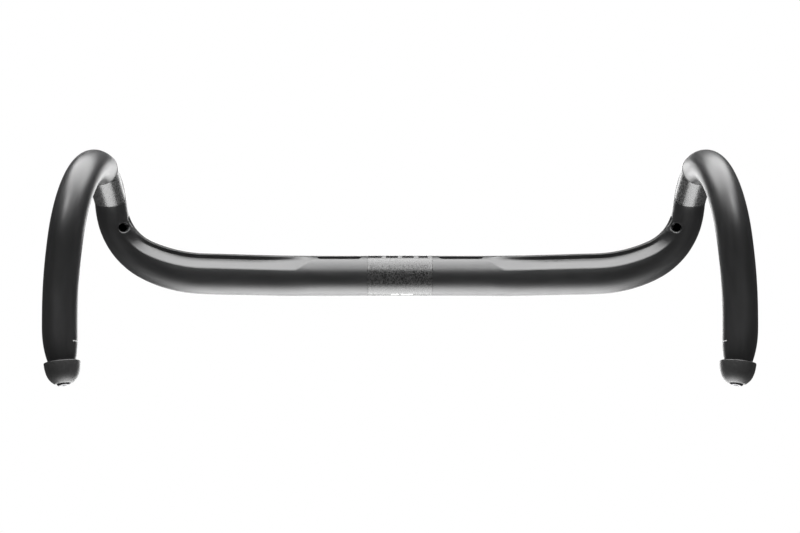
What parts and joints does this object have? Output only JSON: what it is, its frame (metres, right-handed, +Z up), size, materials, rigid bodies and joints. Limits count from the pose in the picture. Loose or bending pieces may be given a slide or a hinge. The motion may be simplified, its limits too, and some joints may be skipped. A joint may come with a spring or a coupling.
{
  "type": "drop handlebar",
  "caption": "Compact carbon drop handlebar with a round gritty stem clamp zone, grooved tops with housing ports, hooks with lever patches and domed expander plugs.",
  "frame": {"origin": "centre of the stem clamp, on the axis of the round middle section", "axes": "+X across the bicycle to the rider's left along the clamp axis, -Y forward, +Z up, as the bar sits on a bicycle"},
  "size_m": [0.4852, 0.1655, 0.1552],
  "materials": {
    "moulded_carbon": "satin moulded carbon laminate",
    "grip_grit": "gritty friction coat",
    "white_print": "flat printed ink",
    "cap_plastic": "fine moulded texture",
    "jaw_plastic": "moulded nylon",
    "ring_rubber": "matt",
    "dark_steel": "blackened",
    "nut_alloy": "machined"
  },
  "bodies": {
    "bar": {"bar_shell": "moulded_carbon", "clamp_band": "grip_grit", "clamp_marks": "white_print", "left_lever_patch": "grip_grit", "right_lever_patch": "grip_grit", "left_trim_mark": "white_print", "right_trim_mark": "white_print"},
    "left_plug": {"left_end_cap": "cap_plastic", "left_plug_washer": "dark_steel", "left_jaw_ring": "ring_rubber"},
    "left_screw": {"left_plug_screw": "dark_steel"},
    "left_nut": {"left_wedge_nut": "nut_alloy"},
    "left_jaw_outer_body": {"left_jaw_outer": "jaw_plastic"},
    "left_jaw_lower_body": {"left_jaw_lower": "jaw_plastic"},
    "left_jaw_inner_body": {"left_jaw_inner": "jaw_plastic"},
    "left_jaw_upper_body": {"left_jaw_upper": "jaw_plastic"},
    "right_plug": {"right_end_cap": "cap_plastic", "right_plug_washer": "dark_steel", "right_jaw_ring": "ring_rubber"},
    "right_screw": {"right_plug_screw": "dark_steel"},
    "right_nut": {"right_wedge_nut": "nut_alloy"},
    "right_jaw_outer_body": {"right_jaw_outer": "jaw_plastic"},
    "right_jaw_lower_body": {"right_jaw_lower": "jaw_plastic"},
    "right_jaw_inner_body": {"right_jaw_inner": "jaw_plastic"},
    "right_jaw_upper_body": {"right_jaw_upper": "jaw_plastic"}
  },
  "joints": [
    {"name": "left_plug_pull", "type": "slide", "parent": "bar", "child": "left_plug", "axis": [-0.1235, 0.9729, -0.1956], "range_m": [0, 0.045]},
    {"name": "left_nut_draw", "type": "slide", "parent": "left_plug", "child": "left_nut", "axis": [0.1235, -0.9729, 0.1956], "range_m": [0, 0.0024]},
    {"name": "left_screw_turn", "type": "hinge", "parent": "left_plug", "child": "left_screw", "pos_m": [0.2277, 0.0569, -0.1268], "axis": [-0.1235, 0.9729, -0.1956], "range_deg": [0, 1080]},
    {"name": "left_jaw_outer_close", "type": "slide", "parent": "left_plug", "child": "left_jaw_outer_body", "axis": [-0.992, -0.126, 0], "range_m": [0, 0.00036]},
    {"name": "left_jaw_lower_close", "type": "slide", "parent": "left_plug", "child": "left_jaw_lower_body", "axis": [-0.0246, 0.194, 0.9807], "range_m": [0, 0.00036]},
    {"name": "left_jaw_inner_close", "type": "slide", "parent": "left_plug", "child": "left_jaw_inner_body", "axis": [0.992, 0.126, 0], "range_m": [0, 0.00036]},
    {"name": "left_jaw_upper_close", "type": "slide", "parent": "left_plug", "child": "left_jaw_upper_body", "axis": [0.0246, -0.194, -0.9807], "range_m": [0, 0.00036]},
    {"name": "right_plug_pull", "type": "slide", "parent": "bar", "child": "right_plug", "axis": [0.1235, 0.9729, -0.1956], "range_m": [0, 0.045]},
    {"name": "right_nut_draw", "type": "slide", "parent": "right_plug", "child": "right_nut", "axis": [-0.1235, -0.9729, 0.1956], "range_m": [0, 0.0024]},
    {"name": "right_screw_turn", "type": "hinge", "parent": "right_plug", "child": "right_screw", "pos_m": [-0.2277, 0.0569, -0.1268], "axis": [0.1235, 0.9729, -0.1956], "range_deg": [0, 1080]},
    {"name": "right_jaw_outer_close", "type": "slide", "parent": "right_plug", "child": "right_jaw_outer_body", "axis": [0.992, -0.126, 0], "range_m": [0, 0.00036]},
    {"name": "right_jaw_lower_close", "type": "slide", "parent": "right_plug", "child": "right_jaw_lower_body", "axis": [0.0246, 0.194, 0.9807], "range_m": [0, 0.00036]},
    {"name": "right_jaw_inner_close", "type": "slide", "parent": "right_plug", "child": "right_jaw_inner_body", "axis": [-0.992, 0.126, 0], "range_m": [0, 0.00036]},
    {"name": "right_jaw_upper_close", "type": "slide", "parent": "right_plug", "child": "right_jaw_upper_body", "axis": [-0.0246, -0.194, -0.9807], "range_m": [0, 0.00036]}
  ],
  "couplings": [
    {"joint": "left_screw_turn", "follows": "left_nut_draw", "rad_per_m": 7854},
    {"joint": "left_jaw_outer_close", "follows": "left_nut_draw", "ratio": 0.15},
    {"joint": "left_jaw_lower_close", "follows": "left_nut_draw", "ratio": 0.15},
    {"joint": "left_jaw_inner_close", "follows": "left_nut_draw", "ratio": 0.15},
    {"joint": "left_jaw_upper_close", "follows": "left_nut_draw", "ratio": 0.15},
    {"joint": "right_screw_turn", "follows": "right_nut_draw", "rad_per_m": 7854},
    {"joint": "right_jaw_outer_close", "follows": "right_nut_draw", "ratio": 0.15},
    {"joint": "right_jaw_lower_close", "follows": "right_nut_draw", "ratio": 0.15},
    {"joint": "right_jaw_inner_close", "follows": "right_nut_draw", "ratio": 0.15},
    {"joint": "right_jaw_upper_close", "follows": "right_nut_draw", "ratio": 0.15}
  ]
}
